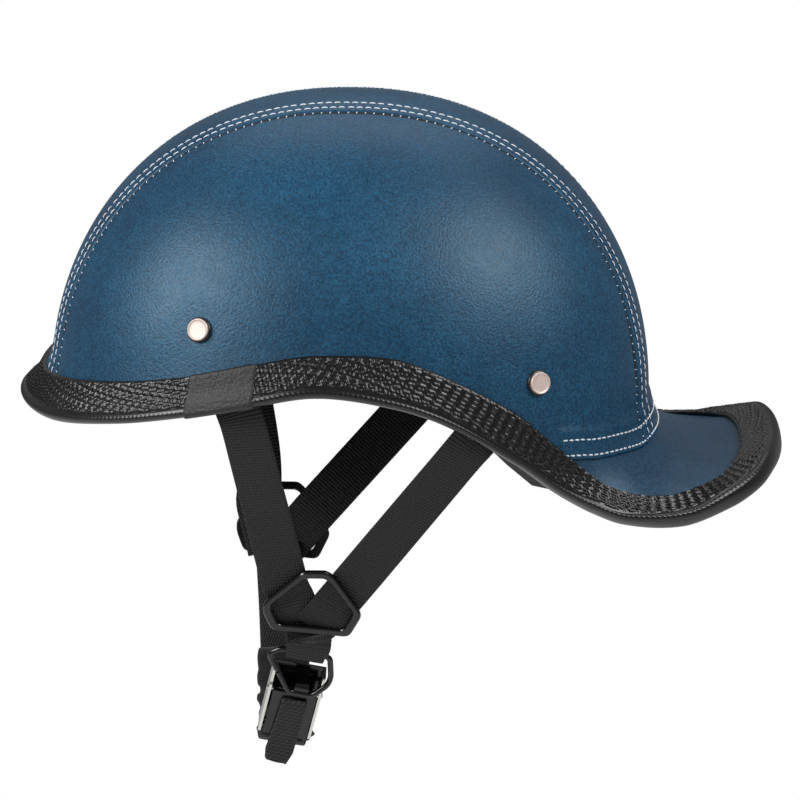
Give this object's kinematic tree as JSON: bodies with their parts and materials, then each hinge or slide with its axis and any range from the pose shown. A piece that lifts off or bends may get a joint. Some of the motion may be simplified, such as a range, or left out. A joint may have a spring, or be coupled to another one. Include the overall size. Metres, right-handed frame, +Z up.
{
  "type": "half shell motorcycle helmet",
  "caption": "Open half shell helmet with an upswept tail, stitched blue leather cover, black edge trim and a webbing chin harness with a ratchet buckle.",
  "frame": {"origin": "centre of the head, level with the widest ring of the dome", "axes": "+X to the tail, -X to the front, -Y to the wearer's left, +Z up"},
  "size_m": [0.3261, 0.2224, 0.2895],
  "materials": {
    "leather_blue": "satin grained faux leather",
    "leather_tail": "smooth satin faux leather",
    "trim_black": "embossed matt vinyl",
    "trim_sleeve": "fine grained vinyl",
    "shell_black": "moulded",
    "foam_dark": "beaded foam",
    "lining_cloth": "brushed cloth",
    "lining_leather": "matt",
    "webbing": "woven nylon",
    "rivet_metal": "satin plated",
    "black_metal": "glossy black",
    "nickel": "bright nickel",
    "black_plastic": "satin black",
    "pad_cloth": "padded knit"
  },
  "bodies": {
    "helmet": {"hard_shell": "shell_black", "side_cover_left": "leather_blue", "side_cover_right": "leather_blue", "crown_strip": "leather_blue", "tail_cover": "leather_tail", "brim_lining": "lining_leather", "edge_trim": "trim_black", "trim_joint_sleeve": "trim_sleeve", "impact_liner": "foam_dark", "crown_lining": "lining_cloth", "head_band": "lining_cloth", "rivet_caps": "rivet_metal", "rivet_posts": "rivet_metal", "rivet_washers": "nickel", "strap_ends_left": "webbing", "strap_ends_right": "webbing"},
    "left_straps": {"front_strap_left": "webbing", "rear_strap_left": "webbing", "slider_left": "black_metal", "lower_loop_left": "webbing"},
    "right_straps": {"front_strap_right": "webbing", "rear_strap_right": "webbing", "slider_right": "black_metal"},
    "chin_link": {"wire_ring": "black_metal", "buckle_frame": "nickel", "lever_pin": "nickel", "lever_spring": "nickel", "chin_strap": "webbing", "chin_pad": "pad_cloth"},
    "lever": {"buckle_lever": "black_plastic", "ratchet_pawl": "nickel", "pawl_pin": "nickel", "pull_tab": "webbing"},
    "tongue": {"toothed_tongue": "black_plastic", "tongue_loop": "webbing"}
  },
  "joints": [
    {"name": "harness_sway", "type": "hinge", "parent": "helmet", "child": "left_straps", "pos_m": [0.00541, -0.09334, 0.00583], "axis": [0.9918, 0.0298, -0.124], "range_deg": [-4, 4]},
    {"name": "right_strap_sway", "type": "hinge", "parent": "helmet", "child": "right_straps", "pos_m": [0.00541, 0.09334, 0.00583], "axis": [0.9918, -0.0298, -0.124], "range_deg": [-4.05, 4.05]},
    {"name": "ring_swing", "type": "hinge", "parent": "left_straps", "child": "chin_link", "pos_m": [-0.01696, -0.05271, -0.10217], "axis": [0.9763, 0.0759, -0.2025], "range_deg": [-6.29, 6.29]},
    {"name": "lever_lift", "type": "hinge", "parent": "chin_link", "child": "lever", "pos_m": [-0.02231, -0.04081, -0.1235], "axis": [0.9763, 0.0759, -0.2025], "range_deg": [-22, 0], "stiffness_Nm_per_rad": 0.03, "springref_deg": 11.46},
    {"name": "tongue_slide", "type": "slide", "parent": "chin_link", "child": "tongue", "axis": [-0.2162, 0.3636, -0.9061], "range_m": [0, 0.004]}
  ],
  "couplings": [
    {"joint": "right_strap_sway", "follows": "harness_sway", "ratio": 1},
    {"joint": "ring_swing", "follows": "harness_sway", "ratio": -1.56}
  ]
}
